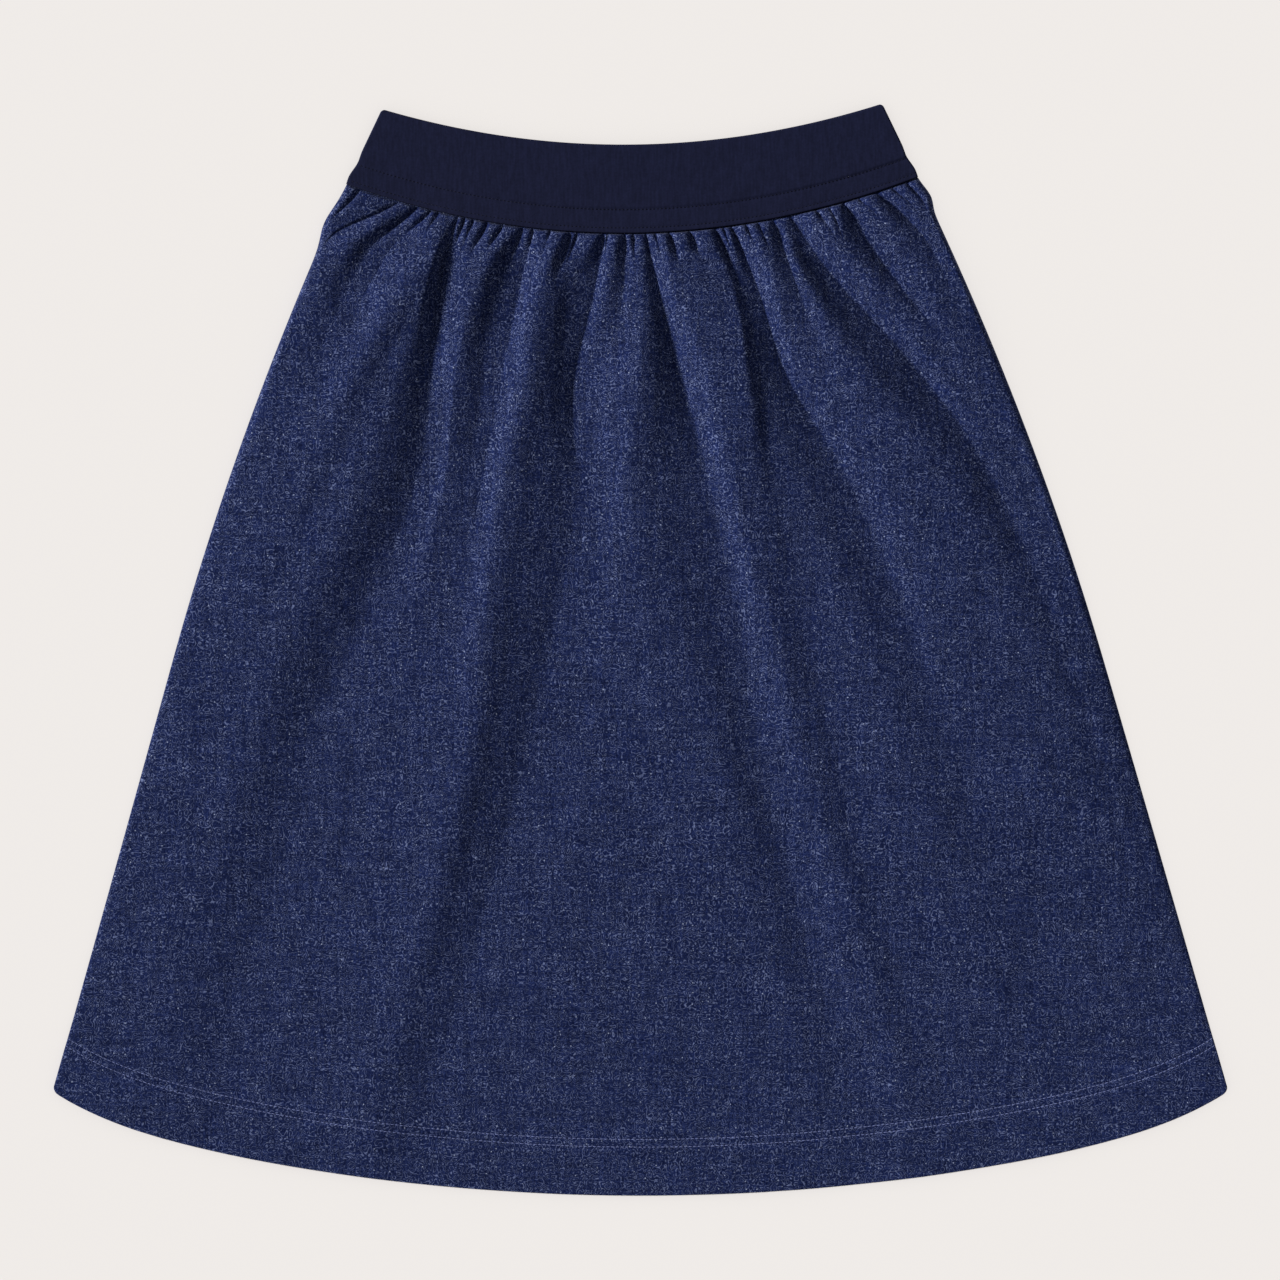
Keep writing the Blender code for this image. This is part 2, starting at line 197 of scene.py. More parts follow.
# Heights in millimetres above the layer that the front panel lies on.
#         place across at each station         height at each station
FRONT_FOLDS = (
    Fold(-1.00, -1.00, -1.00, -1.00, -1.00, -1.00,    3.0, 3.0, 3.0, 3.0, 2.4, 1.2),
    Fold(-.812, -.975, -.985, -.980, -.970, -.960,    1.4, 3.8, 4.4, 4.4, 3.2, 1.6),
    Fold(-.784, -.905, -.955, -.950, -.940, -.930,    3.8, 6.8, 5.0, 5.2, 3.7, 1.8),
    Fold(-.748, -.850, -.885, -.900, -.910, -.920,    2.4, 3.2, 4.7, 6.4, 4.2, 1.9),
    Fold(-.700, -.795, -.840, -.860, -.880, -.910,    4.4, 2.6, 5.6, 7.4, 4.8, 2.0),
    Fold(-.660, -.670, -.758, -.800, -.870, -.900,    4.4, 9.4, 9.6, 8.8, 5.0, 2.1),
    Fold(-.640, -.648, -.700, -.760, -.850, -.880,    3.8, 9.6, 6.8, 8.0, 5.2, 2.2),
    Fold(-.626, -.638, -.665, -.695, -.800, -.855,    3.2, 8.6, 7.6, 10., 6.4, 2.6),
    Fold(-.606, -.613, -.578, -.555, -.665, -.730,    4.6, 0.6, 0.6, 1.8, 1.2, 0.9),
    Fold(-.585, -.590, -.545, -.515, -.630, -.700,    4.2, 3.6, 2.4, 2.8, 1.7, 1.0),
    Fold(-.410, -.487, -.505, -.485, -.550, -.650,    4.6, 8.0, 5.8, 5.0, 3.2, 1.4),
    Fold(-.380, -.425, -.426, -.425, -.490, -.580,    2.4, 2.6, 2.0, 3.8, 4.4, 1.9),
    Fold(-.350, -.360, -.380, -.398, -.420, -.520,    3.6, 0.6, 2.0, 3.8, 5.8, 2.6),
    Fold(-.242, -.290, -.304, -.335, -.352, -.455,    6.6, 7.8, 9.4, 9.0, 8.0, 3.6),
    Fold(-.212, -.246, -.240, -.260, -.300, -.420,    1.8, 6.0, 6.2, 6.4, 5.2, 2.6),
    Fold(-.118, -.198, -.210, -.205, -.262, -.395,    5.2, 3.4, 3.8, 4.0, 3.4, 1.8),
    Fold(-.095, -.122, -.172, -.150, -.225, -.365,    1.4, 0.3, 0.3, 1.8, 1.8, 1.2),
    Fold(-.065, -.082, -.128, -.095, -.160, -.300,    5.6, 3.8, 1.6, 2.8, 2.4, 1.4),
    Fold(-.022, -.030, -.068, -.050, -.060, -.100,    2.4, 2.2, 5.2, 5.4, 3.4, 1.7),
    Fold(0.022, 0.035, 0.014, -.015, 0.160, 0.300,    3.4, 4.8, 9.4, 7.4, 5.2, 2.3),
    Fold(0.048, 0.084, 0.144, 0.198, 0.254, 0.370,    3.2, 0.3, 0.4, 2.2, 1.8, 1.1),
    Fold(0.104, 0.150, 0.236, 0.264, 0.345, 0.470,    9.0, 7.8, 9.2, 8.0, 6.2, 2.7),
    Fold(0.262, 0.320, 0.324, 0.318, 0.375, 0.490,    6.4, 7.6, 9.8, 7.0, 5.4, 2.5),
    Fold(0.290, 0.334, 0.356, 0.360, 0.408, 0.520,    1.2, 5.4, 5.8, 5.4, 4.2, 2.0),
    Fold(0.318, 0.352, 0.390, 0.420, 0.550, 0.680,    5.0, 4.8, 3.8, 4.8, 6.6, 2.1),
    Fold(0.345, 0.394, 0.436, 0.545, 0.645, 0.780,    3.0, 2.8, 0.4, 0.4, 4.4, 1.5),
    Fold(0.410, 0.452, 0.484, 0.602, 0.690, 0.820,    7.6, 8.8, 4.2, 4.6, 5.2, 1.6),
    Fold(0.492, 0.514, 0.550, 0.650, 0.750, 0.860,    1.6, 6.0, 6.4, 6.2, 5.7, 1.7),
    Fold(0.515, 0.542, 0.630, 0.768, 0.870, 0.900,    1.4, 7.8, 9.6, 7.2, 5.6, 1.6),
    Fold(0.532, 0.582, 0.692, 0.820, 0.905, 0.930,    1.2, 2.8, 5.2, 4.8, 4.6, 1.5),
    Fold(0.552, 0.622, 0.765, 0.872, 0.938, 0.940,    0.8, 0.4, 0.6, 0.8, 3.6, 1.4),
    Fold(0.620, 0.700, 0.820, 0.905, 0.950, 0.955,    8.0, 7.0, 5.6, 1.6, 3.7, 1.3),
    Fold(0.712, 0.714, 0.850, 0.925, 0.960, 0.962,    5.8, 7.0, 5.8, 1.8, 3.5, 1.3),
    Fold(0.735, 0.786, 0.875, 0.940, 0.970, 0.970,    2.2, 1.2, 5.9, 1.8, 3.2, 1.2),
    Fold(0.800, 0.880, 0.912, 0.965, 0.980, 0.982,    7.0, 5.6, 6.6, 2.2, 2.9, 1.1),
    Fold(0.852, 0.940, 0.950, 0.980, 0.988, 0.990,    1.5, 3.0, 6.2, 2.8, 2.6, 1.0),
    Fold(0.900, 0.970, 0.980, 0.990, 0.994, 0.995,    4.6, 4.4, 5.6, 2.8, 2.4, 0.9),
    Fold(1.000, 1.000, 1.000, 1.000, 1.000, 1.000,    2.5, 5.0, 5.4, 3.0, 2.2, 0.9),
)

# How far the back panel's creases lift off the surface at the stations, in millimetres, and
# the creases themselves, whose heights are shares of that.  Between them the cloth lies flat.
BACK_LIFTS = np.array((1.2, 1.8, 2.0, 1.2, 0.0, 0.0))
BACK_FOLDS = (
    Fold(-1.00, -1.00, -1.00, -1.00, -1.00, -1.00),
    Fold(-.820, -.845, -.890, -.935, -.950, -.960),
    Fold(-.740, -.775, -.830, -.870, -.900, -.920,    0.9, 1.0, 0.9, 0.7, 0.0, 0.0),
    Fold(-.600, -.630, -.670, -.705, -.740, -.780),
    Fold(-.470, -.490, -.510, -.535, -.570, -.620,    1.0, 1.0, 1.0, 1.0, 0.0, 0.0),
    Fold(-.330, -.345, -.375, -.405, -.440, -.480),
    Fold(-.200, -.205, -.225, -.255, -.290, -.320,    0.8, 0.9, 0.8, 0.5, 0.0, 0.0),
    Fold(-.060, -.065, -.072, -.080, -.090, -.100),
    Fold(0.080, 0.070, 0.080, 0.095, 0.110, 0.130,    1.0, 1.0, 1.0, 0.8, 0.0, 0.0),
    Fold(0.220, 0.225, 0.245, 0.265, 0.290, 0.320),
    Fold(0.360, 0.375, 0.410, 0.445, 0.470, 0.500,    0.9, 0.9, 0.7, 0.4, 0.0, 0.0),
    Fold(0.490, 0.515, 0.555, 0.595, 0.620, 0.650),
    Fold(0.620, 0.650, 0.700, 0.745, 0.780, 0.810,    1.0, 1.0, 0.9, 0.9, 0.0, 0.0),
    Fold(0.760, 0.790, 0.840, 0.885, 0.910, 0.930),
    Fold(1.000, 1.000, 1.000, 1.000, 1.000, 1.000),
)


class Gather(NamedTuple):
    """A gather at the waist seam, with its sizes in millimetres and its depth as a share."""

    across: float
    length: float
    depth: float
    half_width: float


GATHERS = (
    Gather(-.952, 28, 0.75, 1.4),
    Gather(-.812, 50, 0.80, 1.6),
    Gather(-.748, 50, 0.80, 1.7),
    Gather(-.700, 22, 0.70, 1.4),
    Gather(-.676, 9, 0.60, 1.1),
    Gather(-.608, 34, 0.50, 1.2),
    Gather(-.585, 24, 0.75, 1.4),
    Gather(-.554, 12, 0.60, 1.1),
    Gather(-.505, 25, 0.80, 1.7),
    Gather(-.450, 19, 0.70, 1.3),
    Gather(-.380, 40, 0.80, 1.6),
    Gather(-.345, 20, 0.65, 1.3),
    Gather(-.285, 7, 0.55, 1.0),
    Gather(-.215, 34, 0.80, 1.7),
    Gather(-.190, 24, 0.60, 1.3),
    Gather(-.098, 36, 0.85, 2.0),
    Gather(-.085, 11, 0.60, 1.1),
    Gather(-.025, 30, 0.85, 1.8),
    Gather(0.005, 18, 0.70, 1.4),
    Gather(0.048, 14, 0.50, 1.0),
    Gather(0.080, 7, 0.55, 1.0),
    Gather(0.128, 24, 0.80, 1.8),
    Gather(0.200, 22, 0.80, 1.9),
    Gather(0.290, 30, 0.85, 1.9),
    Gather(0.318, 9, 0.50, 1.0),
    Gather(0.345, 46, 0.70, 1.4),
    Gather(0.396, 12, 0.60, 1.1),
    Gather(0.438, 8, 0.55, 1.1),
    Gather(0.492, 26, 0.85, 2.2),
    Gather(0.552, 44, 0.85, 1.8),
    Gather(0.641, 12, 0.65, 1.3),
    Gather(0.687, 6, 0.50, 1.0),
    Gather(0.735, 34, 0.85, 2.0),
    Gather(0.789, 7, 0.55, 1.0),
    Gather(0.852, 30, 0.80, 1.8),
    Gather(0.905, 10, 0.55, 1.1),
    Gather(0.957, 19, 0.70, 1.3),
)


def between(stops: Array, places: Array) -> tuple[Array, Array]:
    """Finds where places are among stops.

    Args:
        stops: rising values.
        places: places from the first stop to the last.

    Returns:
        The number of the stop before each place, and the share of the way to the next one.
    """
    i = np.clip(np.searchsorted(stops, places, side="right") - 1, 0, len(stops) - 2)
    return i, (places - stops[i]) / (stops[i + 1] - stops[i])


def at_stations(values: Array, downs: Array) -> Array:
    """Smooth curves through values that are given at the stations.

    Args:
        values: one row of values, one a station, for each curve.
        downs: shares down the panel.

    Returns:
        One row for each share down, with each curve's value in it.
    """
    steps = np.arange(len(STATIONS))
    before, after = np.maximum(steps - 1, 0), np.minimum(steps + 1, len(STATIONS) - 1)
    slopes = (values[:, after] - values[:, before]) / (STATIONS[after] - STATIONS[before])
    i, share = between(STATIONS, np.minimum(downs, STATIONS[-1]))
    ends = values[:, i], values[:, i + 1]
    return cubic(ends, (slopes[:, i], slopes[:, i + 1]), STATIONS[i + 1] - STATIONS[i], share).T


@dataclass(frozen=True)
class FoldTable:
    """The crests and troughs of one panel, in order across it."""

    folds: tuple[Fold, ...]
    tightness: float = 1.5      # steepness of a trough's sides at the waist seam
    tight_reach: float = 0.45   # down to here the troughs ease to round ones

    def _table(self) -> Array:
        """The folds as rows of numbers."""
        return np.array(self.folds)

    def places(self, downs: Array) -> Array:
        """Where the folds are across the panel, a row for each share down."""
        return at_stations(self._table()[:, :len(STATIONS)], downs)

    def across(self, threads: Array, downs: Array) -> Array:
        """Where threads have got to across the panel.

        Args:
            threads: places at the waist seam.
            downs: shares down the panel.

        Returns:
            Places across, a row for each share down.
        """
        seams = self._table()[:, 0]
        return np.array([np.interp(threads, seams, row) for row in self.places(downs)])

    def heights(self, threads: Array, downs: Array) -> Array:
        """Heights of threads, on curves that are level at crests and steep at troughs.

        Args:
            threads: places at the waist seam.
            downs: shares down the panel.

        Returns:
            Heights in the table's unit, a row for each share down.
        """
        table = self._table()
        levels = at_stations(table[:, len(STATIONS):], downs)
        widths = np.diff(self.places(downs), axis=1)
        slopes = np.diff(levels, axis=1) / widths
        before, after = slopes[:, :-1], slopes[:, 1:]
        same_way = before * after > 0
        through = np.where(same_way, 2 * before * after / (before + after + TINY), 0.0)
        trough = (before < 0) & (after > 0)
        tight = self.tightness * (1 - smooth(downs / self.tight_reach))[:, None]
        level = np.zeros((len(downs), 1))
        starts = np.hstack([level, np.where(trough, tight * after, through)])
        ends = np.hstack([np.where(trough, tight * before, through), level])
        i, share = between(table[:, 0], threads)
        return cubic(
            (levels[:, i], levels[:, i + 1]), (starts[:, i], ends[:, i]), widths[:, i], share)


@dataclass(frozen=True)
class GatherRow:
    """The row of small gathers along the waist seam: slits with puffs of cloth between them."""

    gathers: tuple[Gather, ...]
    narrow: float = 0.45        # a slit's width in the seam itself, in half widths
    widening: float = 1.6       # how much wider a slit is at its lower end
    sharpness: float = 1.5      # of a slit
    puff: float = 1.3 * MM      # height of the puffs between slits
    puff_start: float = 0.6     # share of it that is there in the seam
    puff_swell: float = 4 * MM  # over which the rest of it comes
    puff_reach: float = 26 * MM

    def stops(self) -> Array:
        """The slits' places, with the side seams."""
        return np.array([-1.0, *(gather.across for gather in self.gathers), 1.0])

    def slits(self, threads: Array, lengths: Array, half: float) -> Array:
        """What the slits leave of the relief.

        Args:
            threads: places at the waist seam.
            lengths: distances down from the seam.
            half: half the seam's width.

        Returns:
            Shares from 0 to 1, a row for each length.
        """
        left = np.ones((len(lengths), len(threads)))
        for gather in self.gathers:
            along = lengths / (gather.length * MM)
            wide = gather.half_width * MM * (self.narrow + self.widening * np.clip(along, 0, 1))
            fade = gather.depth * (1 - smooth(along))
            aside = ((threads - gather.across) * half)[None, :]
            left *= 1 - fade[:, None] * hump(aside, wide[:, None], self.sharpness)
        return left

    def puffs(self, threads: Array, lengths: Array) -> Array:
        """Heights of the puffs between the slits.

        Args:
            threads: places at the waist seam.
            lengths: distances down from the seam.

        Returns:
            Heights, a row for each length.
        """
        _, share = between(self.stops(), threads)
        dome = 1 - np.abs(2 * share - 1) ** 3
        swell = self.puff_start + (1 - self.puff_start) * smooth(lengths / self.puff_swell)
        return self.puff * (swell * (1 - smooth(lengths / self.puff_reach)))[:, None] * dome


# ---- cut ---------------------------------------------------------------------------------
@dataclass(frozen=True)
class PanelCut:
    """Outline of a panel as it lies.  Its width and its lowest point are the frame's."""

    hem_half: float
    hem_middle_y: float
    side_fall: float = 0.600        # side seam, measured along Y
    seam_sag: float = 0.0346        # how far the middle of the waist seam hangs below its ends
    hem_sag: float = 0.0687         # the same for the hem
    hem_squareness: float = 0.21    # share of the hem's sag taken up close to the corners
    hem_corner: float = 3.5 * MM    # radius of the hem's corners
    waist_tilt: float = 0.0023      # how much higher the right end of the waist seam lies
    waist_shift: float = 0.0055     # how far to the left the seam lies
    flare: float = 0.1702           # half width that the flare takes off up to the waist
    hip_curve: float = 0.0291       # half width that the curve of the hip takes off as well
    hip_depth: float = 0.526        # share down where that curve begins
    fold_out: float = 3.5 * MM      # a fold that stands out past the left side seam
    fold_down: float = 0.042        # its middle and its half length, as shares down
    fold_reach: float = 0.022
    puff_out: float = 3.0 * MM      # a puff at the right side seam, just below the band
    puff_down: float = 0.020
    puff_reach: float = 0.014

    @classmethod
    def from_frame(cls, node: str) -> PanelCut:
        """The cut of a CAD panel."""
        low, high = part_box(node)
        return cls(hem_half=(high.x - low.x) / 2, hem_middle_y=low.y)

    @property
    def length(self) -> float:
        """Length of the panel's middle line from the waist seam to the hem."""
        return self.side_fall + self.hem_sag - self.seam_sag

    def half_width(self, downs: Array | float) -> Array | float:
        """Half the panel's width at a share down it."""
        hip = np.maximum(0.0, 1 - downs / self.hip_depth) ** 2
        return self.hem_half - self.flare * (1 - downs) - self.hip_curve * hip

    def place(self, across: Array, downs: Array) -> tuple[Array, Array]:
        """X and Y of points of the panel.

        Args:
            across: places across, a row for each share down.
            downs: shares down, as a column.

        Returns:
            X and Y, in the shape of across.
        """
        corner = 1 - quarter_round((1 - downs) * self.length, self.hem_corner)
        across = across * (1 - self.hem_corner / self.hem_half * corner * across ** 8)
        squareness = self.hem_squareness * downs
        rise = (1 - squareness) * across ** 2 + squareness * across ** 10
        sag = self.seam_sag + (self.hem_sag - self.seam_sag) * downs
        fold = self.fold_out * hump(downs - self.fold_down, self.fold_reach)
        puff = self.puff_out * hump(downs - self.puff_down, self.puff_reach)
        x = across * self.half_width(downs) - self.waist_shift * (1 - downs) ** 1.5
        x = x + across ** 3 * np.where(across < 0, fold, puff)
        seam_end_y = self.hem_middle_y + self.side_fall + self.hem_sag
        y = seam_end_y - self.side_fall * downs - sag * (1 - rise)
        return x, y + self.waist_tilt * (1 - downs) * across


# ---- meshes ------------------------------------------------------------------------------
def place_object(name: str, data: bpy.types.ID) -> bpy.types.Object:
    """Puts a new object into the scene.

    Args:
        name: name of the object.
        data: its mesh, light or camera.

    Returns:
        The object.
    """
    thing = bpy.data.objects.new(name, data)
    bpy.context.scene.collection.objects.link(thing)
    return thing


def cloth_object(
    name: str, outer: Array, thickness: Array, material: bpy.types.Material, downwards: bool
) -> bpy.types.Object:
    """A closed sheet of cloth whose outer face is a grid of points.

    Args:
        name: name of the object.
        outer: points of the outer face, rows from the waist down, columns from left to right.
        thickness: thickness of the cloth at each of them.
        material: its finish.
        downwards: whether the outer face looks down, as on the back of the skirt.

    Returns:
        The object, thickened inwards from its outer face.
    """
    rows, columns = thickness.shape
    bm = bmesh.new()
    bmesh.ops.create_grid(bm, x_segments=columns - 1, y_segments=rows - 1, size=1.0)
    if downwards:
        bmesh.ops.reverse_faces(bm, faces=bm.faces)
    mesh = bpy.data.meshes.new(name)
    bm.to_mesh(mesh)
    bm.free()
    upwards_rows = outer[::-1].reshape(-1, 3)
    mesh.vertices.foreach_set("co", upwards_rows.astype(np.float32).ravel())
    mesh.materials.append(material)
    mesh.shade_smooth()
    piece = place_object(name, mesh)
    group = piece.vertex_groups.new(name="thickness")
    for index, share in enumerate((thickness[::-1] / thickness.max()).ravel()):
        group.add([index], float(share), "REPLACE")
    solidify = piece.modifiers.new("cloth", "SOLIDIFY")
    solidify.thickness = float(thickness.max())
    solidify.offset = -1.0
    solidify.vertex_group = group.name
    return piece


@dataclass(frozen=True)
class StitchRow:
    """A row of lockstitches along a line on the cloth."""

    pitch: float                # from one stitch to the next
    gap: float                  # between the ends of two stitches
    radius: float               # of the thread
    lift: float                 # of the thread's middle above the cloth
    press: float = 0.15 * MM    # that the cloth's weight presses it in underneath
    sink: float = 1 / 3         # share of its radius that lies in the cloth at the holes
    tip: float = 0.45           # thickness of a stitch's ends, as a share of its middle's
    sides: int = 6
    rings: int = 5

    def build(
        self, name: str, line: Array, material: bpy.types.Material, downwards: bool
    ) -> bpy.types.Object:
        """Lays the stitches along a line.

        Args:
            name: name of the object.
            line: points of the line on the cloth.
            material: the thread's finish.
            downwards: whether the stitches lie on a face that looks down.

        Returns:
            One object with all the stitches of the row.
        """
        lengths = np.linalg.norm(np.diff(line, axis=0), axis=1)
        along = np.concatenate(([0.0], np.cumsum(lengths)))
        count = int(along[-1] / self.pitch)
        starts = (along[-1] - count * self.pitch) / 2 + self.pitch * np.arange(count)
        share = np.linspace(0, 1, self.rings)
        arch = np.sin(np.pi * share)
        places = starts[:, None] + self.gap / 2 + (self.pitch - self.gap) * share
        middles = np.stack([np.interp(places, along, line[:, k]) for k in range(3)], axis=-1)
        up = np.array((0.0, 0.0, -1.0 if downwards else 1.0))
        sunk = self.sink * self.radius + (self.press if downwards else 0.0)
        middles += up * (self.lift * arch - sunk)[None, :, None]
        run = middles[:, -1] - middles[:, 0]
        run /= np.linalg.norm(run, axis=1)[:, None]
        across = np.cross(run, up)
        turn = 2 * np.pi * np.arange(self.sides) / self.sides
        taper = self.radius * (self.tip + (1 - self.tip) * arch)
        ring = np.cos(turn)[None, :, None] * across[:, None, :] + np.sin(turn)[None, :, None] * up
        points = middles[:, :, None, :] + ring[:, None, :, :] * taper[None, :, None, None]
        mesh = bpy.data.meshes.new(name)
        mesh.from_pydata(points.reshape(-1, 3).tolist(), [], self._faces(count))
        mesh.materials.append(material)
        mesh.shade_smooth()
        bm = bmesh.new()
        bm.from_mesh(mesh)
        bmesh.ops.recalc_face_normals(bm, faces=bm.faces)
        bm.to_mesh(mesh)
        bm.free()
        return place_object(name, mesh)

    def _faces(self, count: int) -> list[tuple[int, ...]]:
        """Faces of the stitches, whose points run ring by ring.

        Args:
            count: how many stitches there are.

        Returns:
            Each face's points: the sides of a stitch, then its two ends.
        """
        sides, size = self.sides, self.rings * self.sides
        stitch = [
            (low + k, low + (k + 1) % sides, low + sides + (k + 1) % sides, low + sides + k)
            for low in range(0, size - sides, sides) for k in range(sides)
        ]
        stitch += [tuple(range(sides)), tuple(range(size - sides, size))]
        return [tuple(first + k for k in face)
                for first in range(0, count * size, size) for face in stitch]


# ---- finishes ----------------------------------------------------------------------------
def linear(colour: str) -> tuple[float, float, float, float]:
    """An sRGB hex colour as linear values with alpha."""
    channels = [int(colour[k:k + 2], 16) / 255 for k in (1, 3, 5)]
    values = [c / 12.92 if c <= 0.04045 else ((c + 0.055) / 1.055) ** 2.4 for c in channels]
    return (*values, 1.0)


class Spots(NamedTuple):
    """A pattern of soft random spots."""

    width_mm: float             # a spot's size along X and along Y
    length_mm: float
    edges: tuple[float, float]  # where a spot starts and where it is full, in the noise's range
    detail: float = 1.0         # how broken its edge is


class Recipe:
    """A material while its nodes are added."""

    def __init__(self, name: str) -> None:
        """Starts a material with a Principled shader."""
        self.material = bpy.data.materials.new(name)
        self.material.use_nodes = True
        self.tree = self.material.node_tree

    def fill(self, node: bpy.types.Node, inputs: dict) -> None:
        """Fills a node's inputs.

        Args:
            node: the node.
            inputs: for an input's name or number, a value or the socket to link to it.
        """
        for key, value in inputs.items():
            if isinstance(value, Socket):
                self.tree.links.new(value, node.inputs[key])
            else:
                node.inputs[key].default_value = value

    def add_node(self, kind: str, inputs: dict, output: str | int = 0, **settings) -> Socket:
        """Adds a node with its settings and links.

        Args:
            kind: the node's type name.
            inputs: for an input's name or number, a value or the socket to link to it.
            output: the wanted output's name or number.
            **settings: the node's own properties.

        Returns:
            The wanted output.
        """
        node = self.tree.nodes.new(kind)
        for key, value in settings.items():
            setattr(node, key, value)
        self.fill(node, inputs)
        return node.outputs[output]

    @cached_property
    def place(self) -> Socket:
        """Where on the cloth, in metres."""
        return self.add_node("ShaderNodeTexCoord", {}, "Object")

    def spots(self, spots: Spots) -> Socket:
        """Adds a pattern of spots.

        Args:
            spots: the pattern.

        Returns:
            A socket from 0 between the spots to 1 on them.
        """
        across, along = 1 / (spots.width_mm * MM), 1 / (spots.length_mm * MM)
        spread = self.add_node(
            "ShaderNodeMapping", {"Vector": self.place, "Scale": (across, along, along)})
        noise = self.add_node(
            "ShaderNodeTexNoise", {"Vector": spread, "Scale": 1.0, "Detail": spots.detail}, "Fac")
        return self.add_node("ShaderNodeMapRange", {
            "Value": noise, "From Min": spots.edges[0], "From Max": spots.edges[1]})

    def varied(self, colour: Socket | tuple[float, ...], pattern: Socket, amount: float) -> Socket:
        """Makes a colour darker and lighter by a pattern.

        Args:
            colour: the colour.
            pattern: from 0 where the colour is darkest to 1 where it is lightest.
            amount: how much darker and lighter, as a share.

        Returns:
            The varied colour.
        """
        factor = self.add_node(
            "ShaderNodeMapRange", {"Value": pattern, "To Min": 1 - amount, "To Max": 1 + amount})
        return self.add_node(
            "ShaderNodeVectorMath", {0: colour, "Scale": factor}, operation="SCALE")

    def finished(self, inputs: dict) -> bpy.types.Material:
        """The material, once these inputs of its shader are filled."""
        self.fill(self.tree.nodes["Principled BSDF"], inputs)
        return self.material


@dataclass(frozen=True)
class MelangeDenimKnit:
    """Brushed cotton-polyester knit printed and dyed as melange denim.

    To the eye it is a matt indigo ground, closely covered with short pale fibres that curl in
    all directions, with a few white neps, and faint slubs along and across the cloth.
    """

    deep: str = "#040e34"
    ground: str = "#212c56"
    pale: str = "#6a759b"
    nep: str = "#c4d0ed"
    grain: Spots = Spots(0.9, 0.9, (0.34, 0.66))        # coarser than real loops, so it shows
    curl: Spots = Spots(3.8, 3.8, (0.0, 1.0), 0.5)      # fibres run round its hills and hollows
    curl_turns: float = 3.2                             # fibres side by side in a curl
    curl_width: float = 0.20                            # half a fibre, in their spacings
    pieces: Spots = Spots(1.6, 1.6, (0.30, 0.55), 0.0)  # that the fibres are broken into
    patches: Spots = Spots(9.0, 9.0, (0.05, 0.60), 2.0)     # where fibres are thick or thin
    nep_mm: float = 3.5                                 # spacing of the neps
    nep_rim: tuple[float, float] = (0.15, 0.05)         # a nep's outer and full radius, in those
    nep_pick: tuple[float, float] = (0.25, 1.3)         # in a draw of 0 to 1: none, full white
    slub_along: Spots = Spots(30.0, 1.5, (0.35, 0.70), 0.5)
    slub_across: Spots = Spots(1.5, 30.0, (0.35, 0.70), 0.5)
    slub_depth: float = 0.14
    blotches: Spots = Spots(14.0, 14.0, (0.3, 0.7), 2.0)
    blotch_depth: float = 0.10
    fibre_height: float = 0.12 * MM
    fibre_share: float = 0.35                           # of that height that the shading shows
    roughness: float = 0.88
    sheen: float = 0.03
    gloss: float = 0.06                                 # loose fibre ends leave almost none

    def build(self) -> bpy.types.Material:
        """Makes the material."""
        recipe = Recipe("melange_denim_knit")
        grain, fibres = recipe.spots(self.grain), self._fibres(recipe)
        ground = recipe.add_node(
            "ShaderNodeMix", {0: grain, 6: linear(self.deep), 7: linear(self.ground)}, 2,
            data_type="RGBA")
        ground = recipe.varied(ground, recipe.spots(self.blotches), self.blotch_depth)
        colour = recipe.add_node(
            "ShaderNodeMix", {0: fibres, 6: ground, 7: linear(self.pale)}, 2, data_type="RGBA")
        for slubs in (self.slub_along, self.slub_across):
            colour = recipe.varied(colour, recipe.spots(slubs), self.slub_depth)
        colour = recipe.add_node(
            "ShaderNodeMix", {0: self._neps(recipe), 6: colour, 7: linear(self.nep)}, 2,
            data_type="RGBA")
        relief = recipe.add_node("ShaderNodeMath", {0: grain, 1: fibres}, operation="ADD")
        bump = recipe.add_node("ShaderNodeBump", {
            "Strength": self.fibre_share, "Distance": self.fibre_height, "Height": relief})
        return recipe.finished({
            "Base Color": colour, "Normal": bump, "Roughness": self.roughness,
            "Specular IOR Level": self.gloss, "Sheen Weight": self.sheen})

    def _fibres(self, recipe: Recipe) -> Socket:
        """Thin lines that curl side by side, broken into pieces and thicker in patches.

        Args:
            recipe: the material.

        Returns:
            A socket from 0 on the ground to 1 on a fibre.
        """
        turns = recipe.add_node(
            "ShaderNodeMath", {0: recipe.spots(self.curl), 1: self.curl_turns * 2},
            operation="MULTIPLY")
        away = recipe.add_node("ShaderNodeMath", {0: turns, 1: 0.5}, operation="PINGPONG")
        fibres = recipe.add_node(
            "ShaderNodeMapRange", {"Value": away, "From Min": self.curl_width, "From Max": 0.0})
        for pattern in (self.pieces, self.patches):
            fibres = recipe.add_node(
                "ShaderNodeMath", {0: fibres, 1: recipe.spots(pattern)}, operation="MULTIPLY")
        return fibres

    def _neps(self, recipe: Recipe) -> Socket:
        """Small white dots, in some of the cells of a scatter.

        Args:
            recipe: the material.

        Returns:
            A socket from 0 away from the neps to 1 on the whitest.
        """
        apart = recipe.add_node(
            "ShaderNodeTexVoronoi", {"Vector": recipe.place, "Scale": 1 / (self.nep_mm * MM)},
            "Distance")
        pick = recipe.add_node("ShaderNodeSeparateColor", {0: apart.node.outputs["Color"]})
        dots, kept = (
            recipe.add_node(
                "ShaderNodeMapRange", {"Value": value, "From Min": none, "From Max": full})
            for value, (none, full) in ((apart, self.nep_rim), (pick, self.nep_pick))
        )
        return recipe.add_node("ShaderNodeMath", {0: dots, 1: kept}, operation="MULTIPLY")


